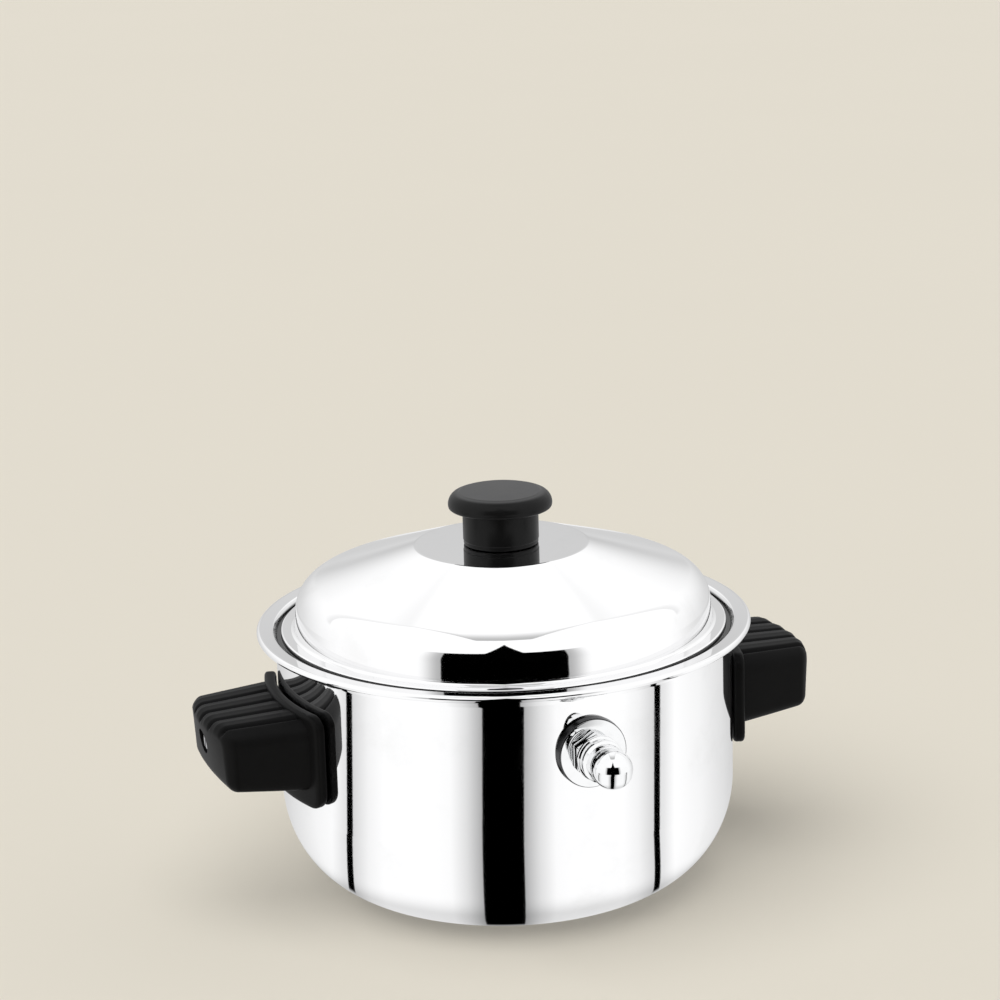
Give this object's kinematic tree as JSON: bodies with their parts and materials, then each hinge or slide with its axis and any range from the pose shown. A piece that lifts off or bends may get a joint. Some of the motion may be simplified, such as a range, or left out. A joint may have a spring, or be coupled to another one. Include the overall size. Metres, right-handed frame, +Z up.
{
  "type": "milk boiler",
  "caption": "Round double-walled steel pot for boiling milk, with a domed lid and knob, moulded lug handles and a pull-off whistle on the filler nozzle.",
  "frame": {"origin": "middle of the flat base, on the surface the pot stands on", "axes": "+Z up, handles along X, whistle pointing to -Y"},
  "size_m": [0.2532, 0.222, 0.1612],
  "materials": {
    "polished_steel": "mirror-polished stainless steel sheet",
    "vessel_steel": "polished rim, satin inside",
    "plain_steel": "plain bright steel fasteners and pressings",
    "chrome": "chromed turned fittings",
    "brass": "turned brass insert",
    "phenolic": "black moulded phenolic, satin",
    "silicone": "off-white silicone rubber"
  },
  "bodies": {
    "pot": {"outer_shell": "polished_steel", "inner_vessel": "vessel_steel", "handle_left": "phenolic", "handle_right": "phenolic", "handle_bracket_left": "plain_steel", "handle_bracket_right": "plain_steel", "handle_nut_left": "plain_steel", "handle_nut_right": "plain_steel", "handle_washer_left": "plain_steel", "handle_washer_right": "plain_steel", "handle_screw_left": "plain_steel", "handle_screw_right": "plain_steel", "filler_nozzle": "chrome", "nozzle_gasket": "silicone", "nozzle_escutcheon": "chrome", "nozzle_locknut": "chrome"},
    "lid": {"lid": "polished_steel", "lid_knob": "phenolic", "knob_insert": "brass", "knob_screw": "plain_steel", "knob_washer": "plain_steel"},
    "whistle": {"whistle_body": "chrome", "whistle_seal": "silicone", "whistle_disc_inner": "plain_steel", "whistle_disc_outer": "plain_steel", "whistle_cap": "chrome"}
  },
  "joints": [
    {"name": "lid_lift", "type": "slide", "parent": "pot", "child": "lid", "axis": [0, 0, 1], "range_m": [0, 0.12]},
    {"name": "whistle_pull", "type": "slide", "parent": "pot", "child": "whistle", "axis": [0, -1, 0], "range_m": [0, 0.04]}
  ]
}
